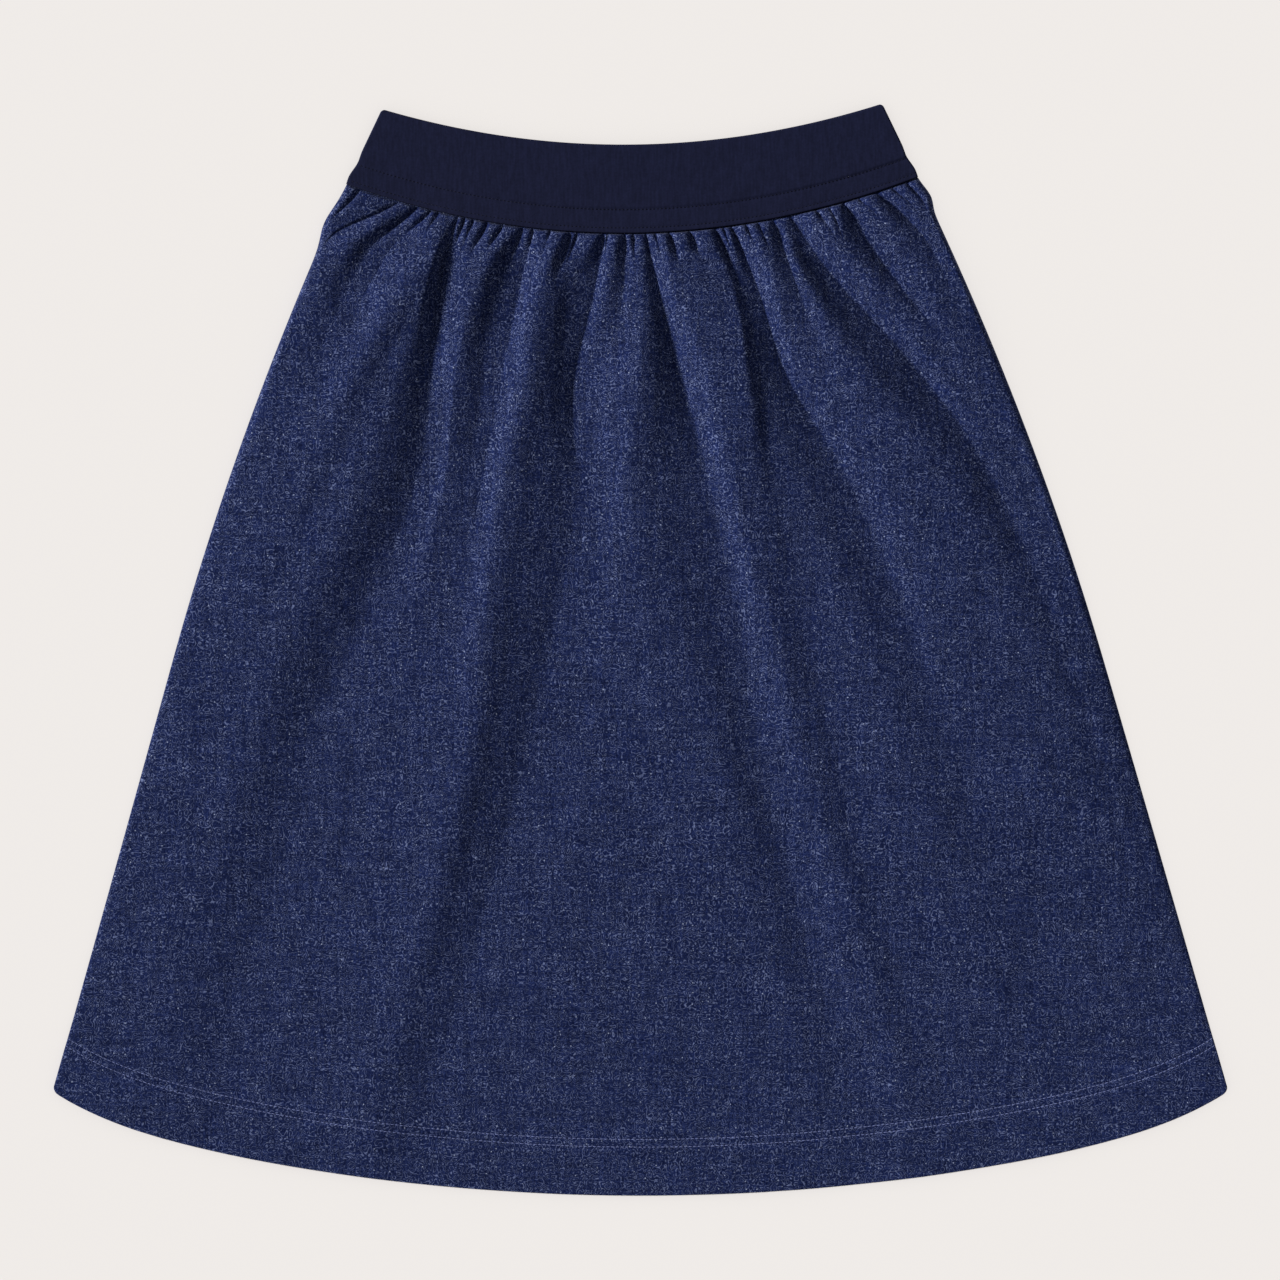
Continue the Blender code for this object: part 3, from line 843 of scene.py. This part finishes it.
@dataclass(frozen=True)
class RibKnit:
    """Plain navy rib knit, as knitted for waistbands.

    To the eye it is an even, nearly black navy with the faintest upright ribs.
    """

    colour: str = "#191c34"
    ribs: Spots = Spots(1.3, 9.0, (0.25, 0.75), 0.0)    # coarser than real ribs, so it shows
    rib_depth: float = 0.13
    loops: Spots = Spots(1.3, 1.3, (0.25, 0.75), 0.0)
    loop_depth: float = 0.10
    mottle: Spots = Spots(6.0, 6.0, (0.3, 0.7), 3.0)
    mottle_depth: float = 0.06
    rib_height: float = 0.08 * MM
    rib_share: float = 0.2                              # of that height that the shading shows
    roughness: float = 0.85
    sheen: float = 0.02
    gloss: float = 0.06

    def build(self) -> bpy.types.Material:
        """Makes the material."""
        recipe = Recipe("waistband_knit")
        ribs = recipe.spots(self.ribs)
        colour = recipe.varied(linear(self.colour)[:3], ribs, self.rib_depth)
        colour = recipe.varied(colour, recipe.spots(self.loops), self.loop_depth)
        colour = recipe.varied(colour, recipe.spots(self.mottle), self.mottle_depth)
        bump = recipe.add_node("ShaderNodeBump", {
            "Strength": self.rib_share, "Distance": self.rib_height, "Height": ribs})
        return recipe.finished({
            "Base Color": colour, "Normal": bump, "Roughness": self.roughness,
            "Specular IOR Level": self.gloss, "Sheen Weight": self.sheen})


@dataclass(frozen=True)
class SewingThread:
    """Spun polyester thread: matt, with its plies showing as a faint twist of light and dark."""

    name: str
    colour: str
    plies: Spots = Spots(0.9, 0.9, (0.3, 0.7))
    ply_depth: float = 0.28
    roughness: float = 0.7
    gloss: float = 0.15

    def build(self) -> bpy.types.Material:
        """Makes the material."""
        recipe = Recipe(self.name)
        colour = linear(self.colour)[:3]
        return recipe.finished({
            "Base Color": recipe.varied(colour, recipe.spots(self.plies), self.ply_depth),
            "Roughness": self.roughness, "Specular IOR Level": self.gloss})


@dataclass(frozen=True)
class BackdropPaper:
    """Seamless warm-white studio paper: matt and even."""

    colour: str = "#dfdbd8"
    roughness: float = 0.95
    gloss: float = 0.0

    def build(self) -> bpy.types.Material:
        """Makes the material."""
        return Recipe("backdrop_paper").finished({
            "Base Color": linear(self.colour), "Roughness": self.roughness,
            "Specular IOR Level": self.gloss})


# ---- the skirt ---------------------------------------------------------------------------
@dataclass(frozen=True)
class Layers:
    """Thicknesses of what lies on what, from the surface up."""

    cloth: float = 0.9 * MM
    gap: float = 0.15 * MM      # between the two panels
    edge_share: float = 0.3     # thickness left at a rounded edge

    def edge(self, distance: Array, radius: float) -> Array:
        """Share of the thickness at a distance from a rounded edge."""
        return self.edge_share + (1 - self.edge_share) * quarter_round(distance, radius)


@dataclass(kw_only=True)
class SewnPiece(ABC):
    """A piece of cloth on one side of the skirt, with its stitch rows.

    Its mesh has a column for each place across it and a row for each share down it.
    """

    side: Side
    cloth: bpy.types.Material
    thread: bpy.types.Material
    kind: str
    slot: str
    flat_size: tuple[float, float]      # cut of what shows
    flat_area: float
    stitches: StitchRow
    row_end: float                      # a stitch row's end, as a place across
    row_points: int
    rim: tuple[float, ...]              # columns close to the sides, from them inwards
    layers: Layers = Layers()

    @property
    def node(self) -> str:
        """Name of the CAD node that the piece replaces."""
        return f"{self.kind}_{self.side.value}"

    @property
    def downwards(self) -> bool:
        """Whether the piece's outer face looks down."""
        return self.side is Side.BACK

    @abstractmethod
    def inner_columns(self) -> Array:
        """Columns of the mesh but for those close to the sides."""

    @abstractmethod
    def downs(self) -> Array:
        """Rows of the mesh, as shares down."""

    @abstractmethod
    def outer(self, columns: Array, downs: Array) -> Array:
        """Points of the outer face, a row for each share down."""

    @abstractmethod
    def thickness(self, columns: Array, downs: Array) -> Array:
        """Thickness at the same points."""

    @abstractmethod
    def stitch_rows(self) -> dict[str, float]:
        """The stitch rows' names, and how far down they run as a share."""

    def build(self) -> bpy.types.Object:
        rim, downs = np.array(self.rim), self.downs()
        columns = np.unique(np.concatenate([self.inner_columns(), rim - 1, 1 - rim]))
        piece = cloth_object(
            f"{self.node}_cloth", self.outer(columns, downs), self.thickness(columns, downs),
            self.cloth, self.downwards)
        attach(piece, "root")
        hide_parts(self.node)
        rows = [self._stitch_row(name, down) for name, down in self.stitch_rows().items()]
        LOG.info("%s: %d x %d points, %d stitch rows", piece.name, len(downs), len(columns),
                 len(rows))
        return piece

    def _stitch_row(self, name: str, down: float) -> bpy.types.Object:
        """A stitch row from one side of the piece to the other.

        Args:
            name: the row's name.
            down: how far down it runs, as a share.

        Returns:
            The row's object.
        """
        places = np.linspace(-self.row_end, self.row_end, self.row_points)
        line = self.outer(places, np.array([down]))[0]
        row = self.stitches.build(f"{self.node}_{name}", line, self.thread, self.downwards)
        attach(row, "root")
        return row


class PanelGrid(NamedTuple):
    """Points of a panel: a column for each thread and a row for each share down."""

    threads: Array
    downs: Array
    from_seam: Array    # distances from the waist seam and from the hem, for each share down
    from_hem: Array
    from_side: Array    # distance from the side seam and place, for each point
    across: Array
    x: Array
    y: Array


@dataclass(kw_only=True)
class Panel(SewnPiece):
    """One of the two gathered panels, with its turned and stitched hem."""

    folds: FoldTable
    gathers: GatherRow
    cut: PanelCut = field(init=False)
    kind: str = "skirt"
    slot: str = "denim_knit"
    side_roll: float = 4 * MM           # width over which the relief rolls off to the side
    side_radius: float = 0.81 * MM      # of the cloth's edge
    hem_radius: float = 2.52 * MM
    seam_relief: float = 0.12           # share of the relief that is left in the waist seam
    seam_rise: float = 24 * MM          # over which the rest of it comes
    seam_roll: float = 1.8 * MM         # over which the cloth comes out from under the band
    hem_depth: float = 36 * MM
    hem_edge: float = 4 * MM            # over which the turned-in layer begins
    hem_ramp: float = 26 * MM           # over which the front climbs onto the turned hem
    hem_calm: float = 0.55              # share of the relief that the hem's weight presses flat
    calm_reach: float = 60 * MM
    dents: tuple[Rumple, ...] = (Rumple(0.30 * MM, 70 * MM, 3), Rumple(0.07 * MM, 16 * MM, 5))
    dent_reach: float = 60 * MM         # below the seam, over which they come
    needle_rows: tuple[float, float] = (32 * MM, 37 * MM)   # above the hem's edge
    needle_groove: float = 0.22 * MM
    groove_width: float = 0.8 * MM
    stitches: StitchRow = StitchRow(
        pitch=3.0 * MM, gap=0.25 * MM, radius=0.25 * MM, lift=0.15 * MM)
    row_end: float = 0.999
    row_points: int = 900
    flat_size: tuple[float, float] = (0.795, 0.650)
    flat_area: float = 0.450
    cells: int = 11                     # from one gather to the next
    crowding: float = 0.10              # of the cells towards the gathers
    rim: tuple[float, ...] = (0.0005, 0.0012, 0.0022, 0.0036, 0.006)

    def __post_init__(self) -> None:
        """Takes the cut from the CAD."""
        self.cut = PanelCut.from_frame("skirt_back")

    def inner_columns(self) -> Array:
        """Threads, crowded at the slits."""
        share = np.arange(1, self.cells + 1) / self.cells
        eased = share - self.crowding * np.sin(2 * np.pi * share)
        stops = self.gathers.stops()
        return np.concatenate(
            [stops[:1], *(a + (b - a) * eased for a, b in zip(stops, stops[1:]))])

    def downs(self) -> Array:
        """Shares down, crowded at the waist seam, the needle rows and the hem's edge."""
        length = self.cut.length
        outermost = max(self.needle_rows) + 3 * MM
        innermost = min(self.needle_rows) - 3 * MM
        return spaced([
            (2 * MM, 0.35 * MM), (7 * MM, 0.8 * MM), (40 * MM, 1.8 * MM), (120 * MM, 4.5 * MM),
            (length - outermost, 14 * MM), (length - innermost, 0.7 * MM),
            (length - 5.0 * MM, 4 * MM), (length - 0.7 * MM, 0.6 * MM), (length, 0.12 * MM),
        ]) / length

    def outer(self, columns: Array, downs: Array) -> Array:
        """Points of the panel's outer face.

        Args:
            columns: the threads.
            downs: shares down.

        Returns:
            Points, a row for each share down.
        """
        grid = self._grid(columns, downs)
        roll = quarter_round(grid.from_side, self.side_roll)
        lift = at_stations(BACK_LIFTS[None, :], downs) * MM * roll
        slits = self.gathers.slits(columns, grid.from_seam, self.cut.half_width(0.0))
        inset = self._grooves(grid)[:, None] + self.layers.cloth * (1 - self._edge(grid)) / 2
        if self.downwards:
            shares = np.maximum(self.folds.heights(columns, downs), 1 - slits)
            z = lift * np.clip(shares, 0.0, 1.0) + inset
        else:
            relief = np.maximum(self._relief(grid, slits), 0.0) * roll
            z = self._rest(grid)[:, None] + relief + lift - inset
        return np.stack([grid.x, grid.y, z], axis=-1)

    def thickness(self, columns: Array, downs: Array) -> Array:
        """Thickness of the cloth, doubled where the hem is turned in.

        Args:
            columns: the threads.
            downs: shares down.

        Returns:
            Thicknesses, a row for each share down.
        """
        grid = self._grid(columns, downs)
        doubled = smooth((self.hem_depth + self.hem_edge / 2 - grid.from_hem) / self.hem_edge)
        return self.layers.cloth * (1 + doubled)[:, None] * self._edge(grid)

    def stitch_rows(self) -> dict[str, float]:
        """The twin needle's rows."""
        return {f"hem_row_{number}": 1 - above / self.cut.length
                for number, above in enumerate(self.needle_rows, start=1)}

    def _grid(self, threads: Array, downs: Array) -> PanelGrid:
        """Finds where points of the panel lie.

        Args:
            threads: places at the waist seam.
            downs: shares down.

        Returns:
            The points.
        """
        across = self.folds.across(threads, downs)
        from_side = (1 - np.abs(across)) * self.cut.half_width(downs)[:, None]
        length = self.cut.length
        return PanelGrid(threads, downs, downs * length, (1 - downs) * length, from_side, across,
                         *self.cut.place(across, downs[:, None]))

    def _rest(self, grid: PanelGrid) -> Array:
        """How high the front panel's upper face lies where it is flat, for each share down."""
        climb = smooth((self.hem_depth + self.hem_ramp / 2 - grid.from_hem) / self.hem_ramp)
        return 2 * self.layers.cloth * (1 + climb) + self.layers.gap

    def _relief(self, grid: PanelGrid, slits: Array) -> Array:
        """Heights of the front panel's folds, puffs and dents.

        Args:
            grid: the points.
            slits: what the slits leave at each of them.

        Returns:
            Heights above where the panel lies flat, for each point.
        """
        rise = quarter_round(grid.from_seam, self.seam_rise)
        rise = self.seam_relief + (1 - self.seam_relief) * rise
        calm = 1 - self.hem_calm * smooth(1 - grid.from_hem / self.calm_reach)
        relief = self.folds.heights(grid.threads, grid.downs) * MM * (rise * calm)[:, None]
        relief += self.gathers.puffs(grid.threads, grid.from_seam)
        relief *= slits * smooth(grid.from_seam / self.seam_roll)[:, None]
        dents = sum(dent.heights(grid.x, grid.y) for dent in self.dents)
        return relief + dents * smooth(grid.from_seam / self.dent_reach)[:, None]

    def _edge(self, grid: PanelGrid) -> Array:
        """Share of the thickness that the rounded side and hem edges leave."""
        hem = self.layers.edge(grid.from_hem[:, None], self.hem_radius)
        return self.layers.edge(grid.from_side, self.side_radius) * hem

    def _grooves(self, grid: PanelGrid) -> Array:
        """How deep the needle rows pull the cloth in, for each share down."""
        return sum(self.needle_groove * hump(grid.from_hem - row, self.groove_width)
                   for row in self.needle_rows)


@dataclass(kw_only=True)
class Waistband(SewnPiece):
    """One side of the waistband: the folded knit with the elastic's form in it."""

    top_y: float = field(init=False)    # of the upper corners, between the tilts
    base: float = field(init=False)     # height of the side's lower face
    kind: str = "waistband"
    slot: str = "waistband_knit"
    top_half: float = 0.165
    flare: float = 0.0232
    fall: float = 0.0486                # from the top edge's ends to the panel's, along Y
    sag: float = 0.0246                 # how far the top edge's middle hangs below its ends
    sag_growth: float = 0.010           # how much farther the lower edge's does
    tilt: float = 0.0018                # how much higher the top edge's right end lies
    seam_tilt: float = 0.0023           # and the lower edge's
    shift: float = 0.0055               # how far to the left the band lies
    depth: float = 58 * MM              # from the top edge to the seam, at the middle
    full: float = 2.8 * MM              # thickness over the elastic
    strip: float = 2.3 * MM             # and of the plain strip below the casing
    strip_ramp: float = 4 * MM
    casing_row: float = 15.3 * MM       # stitch rows, above the lower edge
    edge_row: float = 3.4 * MM
    groove: float = 0.45 * MM           # depth and width of the casing row's groove
    groove_width: float = 1.1 * MM
    edge_groove: float = 0.225 * MM
    edge_groove_width: float = 0.9 * MM
    needle_share: float = 0.3           # of a groove's depth that only the needle holes have
    dents: Rumple = Rumple(0.10 * MM, 45 * MM, 11)
    dent_level: float = 0.14 * MM       # of the dents' middle, below the full thickness
    edge_radius: float = 1.3 * MM
    lower_radius: float = 0.91 * MM
    top_corner: float = 2.0 * MM
    pinch: float = 0.8 * MM             # the casing row draws the ends in, the strip flares
    pinch_reach: float = 5 * MM
    pinch_above: float = 2 * MM         # where they do so most: above the casing row
    flare_above: float = 6 * MM         # and above the lower edge
    seam_gap: float = 0.3 * MM          # between the band and the panel
    back_gap: float = 0.03 * MM         # the same at the back, so that no light comes up
    stitches: StitchRow = StitchRow(
        pitch=2.6 * MM, gap=0.9 * MM, radius=0.30 * MM, lift=0.10 * MM)
    row_end: float = 0.992
    row_points: int = 700
    flat_size: tuple[float, float] = (0.376, 0.058)
    flat_area: float = 0.0216
    even_columns: int = 401
    rim: tuple[float, ...] = (0.0006, 0.0014, 0.0025, 0.004, 0.006, 0.0085)

    def __post_init__(self) -> None:
        """Takes the side's place from the CAD."""
        low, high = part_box(self.node)
        self.top_y = high.y - self.tilt
        self.base = low.z

    def inner_columns(self) -> Array:
        """Even places across."""
        return np.linspace(-1, 1, self.even_columns)

    def downs(self) -> Array:
        """Shares down, crowded at both edges and at the stitch rows."""
        return spaced([
            (0.6 * MM, 0.12 * MM), (2.0 * MM, 0.35 * MM),
            (self.depth - self.casing_row - 3.5 * MM, 3.0 * MM),
            (self.depth - self.casing_row + 3.5 * MM, 0.5 * MM),
            (self.depth - self.edge_row - 2.0 * MM, 1.5 * MM),
            (self.depth - 1.2 * MM, 0.45 * MM), (self.depth, 0.12 * MM),
        ]) / self.depth

    def outer(self, columns: Array, downs: Array) -> Array:
        """Points of the band's outer face.

        Args:
            columns: places across.
            downs: shares down.

        Returns:
            Points, a row for each share down.
        """
        u, w = columns[None, :], downs[:, None]
        above = (1 - w) * self.depth
        drawn = self.pinch * (
            hump(above - self.casing_row - self.pinch_above, self.pinch_reach)
            - hump(above - self.flare_above, self.pinch_reach))
        corner = 1 - quarter_round(w * self.depth, self.top_corner)
        half = self.top_half + self.flare * w - drawn - self.top_corner * corner
        x = u * half - self.shift
        fall = self.fall - (self.back_gap if self.downwards else self.seam_gap)
        tilt = self.tilt + (self.seam_tilt - self.tilt) * w
        y = self.top_y - fall * w + tilt * u
        y = y - (self.sag + self.sag_growth * w) * (1 - u ** 2)
        inset = self._inset(u, w)
        z = inset if self.downwards else self.base + self._full_thickness(w) - inset
        return np.stack([x, y, z], axis=-1)

    def thickness(self, columns: Array, downs: Array) -> Array:
        """Thickness of the band, grooves and rounded edges taken off.

        Args:
            columns: places across.
            downs: shares down.

        Returns:
            Thicknesses, a row for each share down.
        """
        u, w = columns[None, :], downs[:, None]
        return self._full_thickness(w) * (1 + self._edges(u, w)) / 2 - self._inset(u, w)

    def stitch_rows(self) -> dict[str, float]:
        """The casing's row, and the one just above the seam."""
        return {"casing_row": 1 - self.casing_row / self.depth,
                "edge_row": 1 - self.edge_row / self.depth}

    def _full_thickness(self, w: Array) -> Array:
        """Thickness away from the edges: the casing, its stitch line and the strip."""
        above = (1 - w) * self.depth
        in_strip = smooth((self.casing_row + self.strip_ramp / 2 - above) / self.strip_ramp)
        return self.full + (self.strip - self.full) * in_strip

    def _inset(self, u: Array, w: Array) -> Array:
        """How far the outer face lies below its full height: grooves, dents and edges.

        Args:
            u: places across, as a row.
            w: shares down, as a column.

        Returns:
            Depths, for each point.
        """
        above = (1 - w) * self.depth
        run = u * (self.top_half + self.flare)
        holes = np.cos(2 * np.pi * run / self.stitches.pitch)
        groove = (
            self.groove * hump(above - self.casing_row, self.groove_width)
            + self.edge_groove * hump(above - self.edge_row, self.edge_groove_width)
        ) * (1 - self.needle_share + self.needle_share * holes)
        edge = self._edges(u, w)
        dents = self.dents.heights(*np.broadcast_arrays(run, above))
        lip = self._full_thickness(w) * (1 - edge) / 2
        return groove + lip + (dents + self.dent_level) * edge

    def _edges(self, u: Array, w: Array) -> Array:
        """Share of the thickness that the rounded edges leave.

        Args:
            u: places across, as a row.
            w: shares down, as a column.

        Returns:
            Shares from 0 to 1, for each point.
        """
        half = self.top_half + self.flare * w
        sides = self.layers.edge((1 - np.abs(u)) * half, self.edge_radius)
        top = self.layers.edge(w * self.depth, self.edge_radius)
        return sides * top * self.layers.edge((1 - w) * self.depth, self.lower_radius)


# ---- studio ------------------------------------------------------------------------------
@dataclass(frozen=True)
class Sun:
    """A large soft light far away.  Directions are in degrees, from +Y towards +X."""

    name: str
    elevation: float
    azimuth: float
    softness: float
    power: float

    def build(self, lit: list[bpy.types.Object]) -> None:
        """Makes the light.

        Args:
            lit: the pieces that it falls on, and no others.
        """
        elevation, azimuth = math.radians(self.elevation), math.radians(self.azimuth)
        towards = Vector((
            math.sin(azimuth) * math.cos(elevation),
            math.cos(azimuth) * math.cos(elevation),
            math.sin(elevation),
        ))
        light = bpy.data.lights.new(self.name, "SUN")
        light.energy = self.power
        light.angle = math.radians(self.softness)
        sun = place_object(self.name, light)
        sun.rotation_euler = towards.to_track_quat("Z", "Y").to_euler()
        sun.location = towards      # its direction alone counts
        pieces = bpy.data.collections.new(f"lit_by_{self.name}")
        for piece in lit:
            pieces.objects.link(piece)
        sun.light_linking.receiver_collection = pieces


@dataclass(frozen=True)
class Studio:
    """A plain paper floor, a low soft light over the cloth, a high one over the floor, and fill."""

    floor_half: float = 6.0
    floor_drop: float = 0.05 * MM
    cloth_light: Sun = Sun("cloth_light", elevation=21.5, azimuth=-78, softness=14, power=5.3)
    floor_light: Sun = Sun("floor_light", elevation=80, azimuth=-12, softness=10, power=2.96)
    fill: float = 0.25
    fill_colour: str = "#ffffff"
    view_width: float = 0.8448
    view_centre: tuple[float, float] = (-0.0003, 0.0065)
    lens: float = 100.0
    reach: float = 4.0                  # how far the camera sees, in distances to the skirt

    def build(self) -> None:
        """Makes the floor, the lights and the camera."""
        cloth = [piece for piece in bpy.context.scene.objects if piece.type == "MESH"]
        self.cloth_light.build(cloth)
        self.floor_light.build([self._floor()])
        self._fill()
        self._camera()
        bpy.context.scene.view_settings.view_transform = "Standard"
        LOG.info("studio: floor, lights, fill and camera")

    def _floor(self) -> bpy.types.Object:
        """The paper floor."""
        mesh = bpy.data.meshes.new("studio_floor")
        bm = bmesh.new()
        bmesh.ops.create_grid(bm, x_segments=1, y_segments=1, size=self.floor_half)
        bm.to_mesh(mesh)
        bm.free()
        mesh.materials.append(BackdropPaper().build())
        floor = place_object("studio_floor", mesh)
        floor.location.z = -self.floor_drop
        return floor

    def _fill(self) -> None:
        """Even light from all round."""
        world = bpy.data.worlds.new("studio_fill")
        world.use_nodes = True
        background = world.node_tree.nodes["Background"]
        background.inputs["Color"].default_value = linear(self.fill_colour)
        background.inputs["Strength"].default_value = self.fill
        bpy.context.scene.world = world

    def _camera(self) -> None:
        """A long lens that looks straight down."""
        data = bpy.data.cameras.new("camera")
        data.lens = self.lens
        distance = self.view_width * data.lens / data.sensor_width
        data.clip_end = self.reach * distance
        camera = place_object("camera", data)
        camera.location = (*self.view_centre, distance)
        bpy.context.scene.camera = camera


def main() -> None:
    """Builds the skirt's pieces in order, then the studio."""
    logging.basicConfig(level=logging.INFO, format="%(name)s: %(message)s")
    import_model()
    denim = MelangeDenimKnit().build()
    knit = RibKnit().build()
    hem_thread = SewingThread("hem_thread", "#717aa6").build()
    band_thread = SewingThread("waistband_thread", "#0e1022").build()
    gathers = GatherRow(GATHERS)
    tables = {Side.BACK: FoldTable(BACK_FOLDS), Side.FRONT: FoldTable(FRONT_FOLDS)}
    for side, folds in tables.items():
        Waistband(side=side, cloth=knit, thread=band_thread).build()
        Panel(side=side, cloth=denim, thread=hem_thread, folds=folds, gathers=gathers).build()
    Studio().build()


if __name__ == "__main__":
    main()
